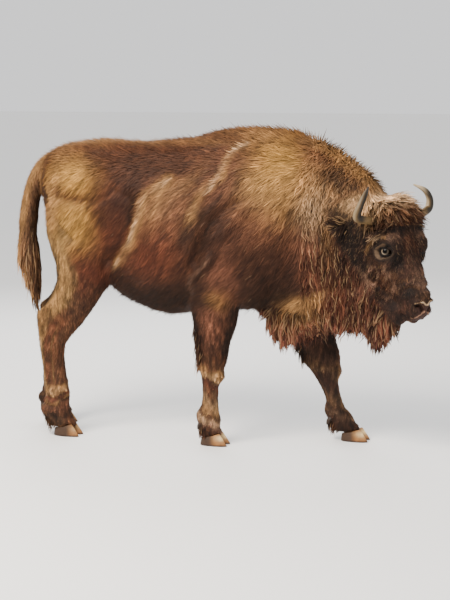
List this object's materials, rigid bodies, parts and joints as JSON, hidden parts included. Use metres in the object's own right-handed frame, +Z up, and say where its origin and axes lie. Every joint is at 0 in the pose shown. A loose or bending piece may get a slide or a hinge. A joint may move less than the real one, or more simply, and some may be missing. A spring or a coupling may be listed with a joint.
{
  "type": "european bison bull",
  "caption": "Life-size standing European bison bull, walking stance with the head turned to its right, shaggy mane and beard, curved horns and cloven hooves.",
  "frame": {"origin": "on the floor under the middle of the model's box", "axes": "+X the way the body faces, +Y its left side, +Z up"},
  "size_m": [2.4698, 0.781, 1.7842],
  "materials": {
    "coat_brown": "short flat fur",
    "coat_light": "short flat fur",
    "coat_dark": "short dark fur",
    "mane": "long wavy hair",
    "horn": "worn satin horn",
    "claw": "satin hoof horn",
    "eye": "wet gloss"
  },
  "bodies": {
    "root": {"head": "coat_dark", "beard": "mane", "neck": "mane", "chest_mane": "mane", "trunk": "coat_brown", "foreleg_right": "coat_brown", "foreleg_left": "coat_brown", "hindleg_right": "coat_light", "hindleg_left": "coat_light", "tail_dock": "coat_brown", "tail_tuft": "mane", "ear_left": "coat_dark", "ear_right": "coat_dark", "horn_left": "horn", "horn_right": "horn", "eye_left": "eye", "eye_right": "eye", "foreleg_right_claw_left": "claw", "foreleg_right_claw_right": "claw", "foreleg_right_dewclaw_left": "claw", "foreleg_right_dewclaw_right": "claw", "foreleg_left_claw_left": "claw", "foreleg_left_claw_right": "claw", "foreleg_left_dewclaw_left": "claw", "foreleg_left_dewclaw_right": "claw", "hindleg_right_claw_left": "claw", "hindleg_right_claw_right": "claw", "hindleg_right_dewclaw_left": "claw", "hindleg_right_dewclaw_right": "claw", "hindleg_left_claw_left": "claw", "hindleg_left_claw_right": "claw", "hindleg_left_dewclaw_left": "claw", "hindleg_left_dewclaw_right": "claw"}
  },
  "joints": []
}
